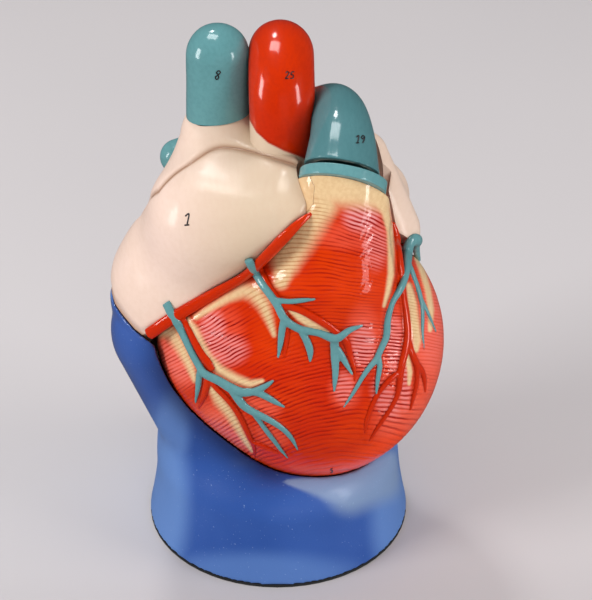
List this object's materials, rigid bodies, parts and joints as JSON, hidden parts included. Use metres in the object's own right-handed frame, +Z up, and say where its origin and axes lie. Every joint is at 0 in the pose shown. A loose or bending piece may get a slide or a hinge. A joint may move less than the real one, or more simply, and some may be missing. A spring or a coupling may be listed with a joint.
{
  "type": "heart anatomy model",
  "caption": "Take-apart heart on a cast stand with a cradle. Front wall, atrium walls and great vessels lift off the rear half to show the chambers, valves and papillary muscles.",
  "frame": {"origin": "centre of the stand's round underside, at the height of the table", "axes": "+Z up; -Y faces the viewer, with the front wall of the heart; +X to the viewer's right"},
  "size_m": [0.1868, 0.1649, 0.3037],
  "materials": {
    "muscle": "glossy hand-painted red with relief of muscle fibres, fading to cream and pink",
    "artery": "glossy plain red paint",
    "cream": "glossy cream paint",
    "teal": "glossy grey-green paint",
    "blue": "glossy blue paint",
    "valve": "off-white satin paint",
    "steel": "bare steel",
    "plate": "dull black board",
    "felt": "black felt"
  },
  "bodies": {
    "stand": {"stand_shell": "blue", "base_plate": "plate", "felt_pad": "felt", "base_screw_1": "steel", "base_screw_2": "steel", "base_screw_3": "steel", "base_screw_4": "steel", "support_rod": "steel", "rod_nut": "steel"},
    "heart": {"rear_heart_body": "muscle", "atrial_body": "cream", "locating_pin_1": "steel", "locating_pin_2": "steel", "superior_vena_cava": "teal", "inferior_vena_cava": "teal", "right_pulmonary_artery": "teal", "pulmonary_vein_right_upper": "artery", "pulmonary_vein_right_lower": "artery", "pulmonary_vein_left_upper": "artery", "pulmonary_vein_left_lower": "artery", "tricuspid_leaflet_1": "valve", "tricuspid_leaflet_2": "valve", "tricuspid_leaflet_3": "valve", "mitral_leaflet_1": "valve", "mitral_leaflet_2": "valve", "aortic_cusp_1": "valve", "aortic_cusp_2": "valve", "aortic_cusp_3": "valve", "papillary_left_front": "valve", "papillary_left_back": "valve", "papillary_right_front": "valve", "papillary_right_back": "valve"},
    "front_wall": {"front_wall": "muscle", "pulmonary_ring": "teal", "pulmonary_cusp_1": "valve", "pulmonary_cusp_2": "valve", "pulmonary_cusp_3": "valve"},
    "right_atrium": {"right_atrium_wall": "cream"},
    "left_atrium": {"left_atrium_wall": "cream"},
    "great_vessels": {"aortic_arch": "artery", "pulmonary_trunk": "teal", "arterial_ligament": "valve"}
  },
  "joints": [
    {"name": "heart_lift", "type": "slide", "parent": "stand", "child": "heart", "axis": [0, 0, 1], "range_m": [0, 0.14]},
    {"name": "front_wall_pull", "type": "slide", "parent": "heart", "child": "front_wall", "axis": [0, -0.722, 0.6919], "range_m": [0, 0.12]},
    {"name": "right_atrium_pull", "type": "slide", "parent": "heart", "child": "right_atrium", "axis": [-0.45, -0.5, 0.74], "range_m": [0, 0.1]},
    {"name": "left_atrium_pull", "type": "slide", "parent": "heart", "child": "left_atrium", "axis": [0.9023, 0.2506, 0.3509], "range_m": [0, 0.09]},
    {"name": "great_vessels_lift", "type": "slide", "parent": "heart", "child": "great_vessels", "axis": [0, 0, 1], "range_m": [0, 0.12]}
  ]
}
